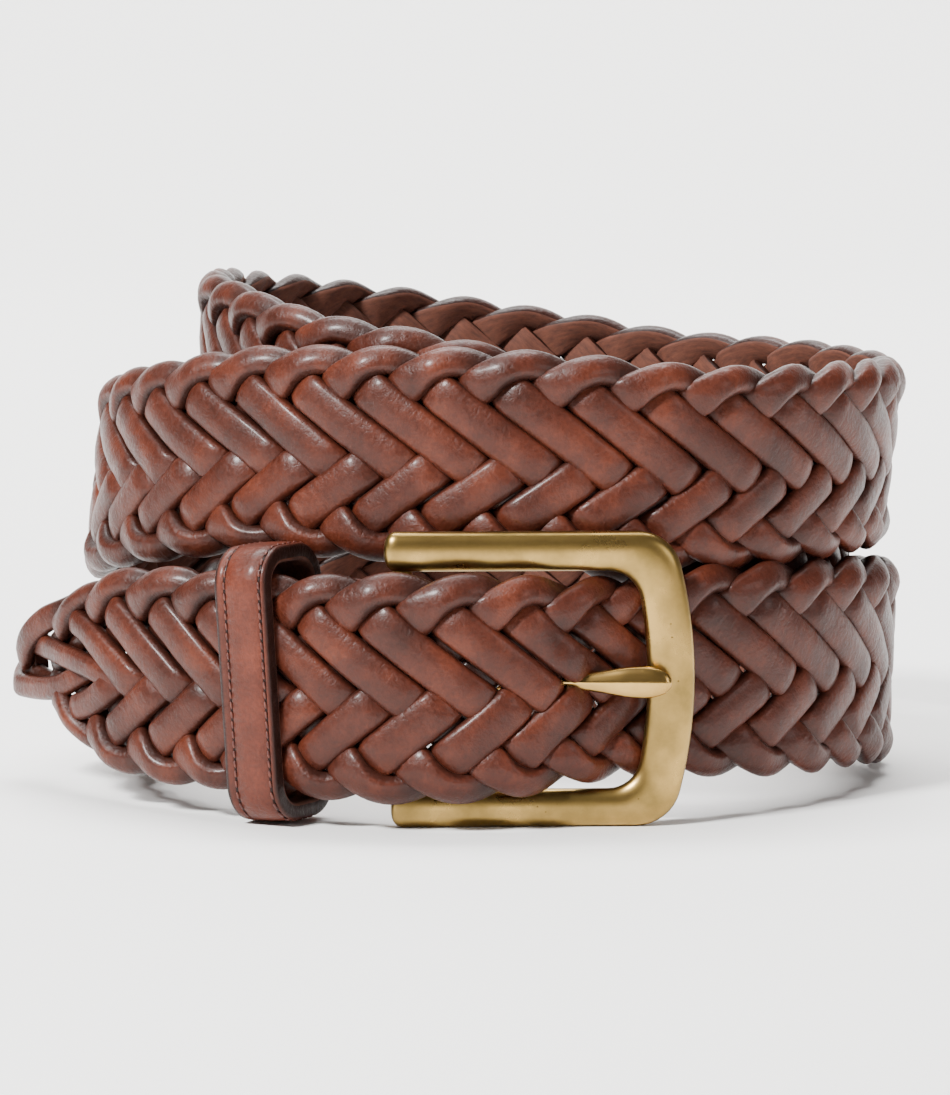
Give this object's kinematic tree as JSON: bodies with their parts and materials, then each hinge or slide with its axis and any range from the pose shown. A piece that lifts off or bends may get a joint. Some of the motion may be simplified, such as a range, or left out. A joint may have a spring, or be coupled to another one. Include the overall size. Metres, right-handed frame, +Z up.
{
  "type": "coiled braided leather belt with a frame buckle",
  "caption": "Braided leather belt buckled and coiled in turns, with a metal frame buckle, prong and keeper loop.",
  "frame": {"origin": "under the middle of the belt's box, on the surface it stands on", "axes": "+Z up, the buckled front faces -Y, +X to the right as seen from the front"},
  "size_m": [0.1436, 0.138, 0.0822],
  "materials": {
    "braid_leather": "burnished reddish-brown leather strands with a soft sheen",
    "loop_leather": "smooth reddish-brown leather with dark burnished edges and stitches",
    "aged_brass": "satin antique brass",
    "polished_brass": "polished brass"
  },
  "bodies": {
    "root": {"braided_strap": "braid_leather", "keeper_loop": "loop_leather", "chape": "loop_leather", "buckle_frame": "aged_brass", "prong": "polished_brass"}
  },
  "joints": []
}
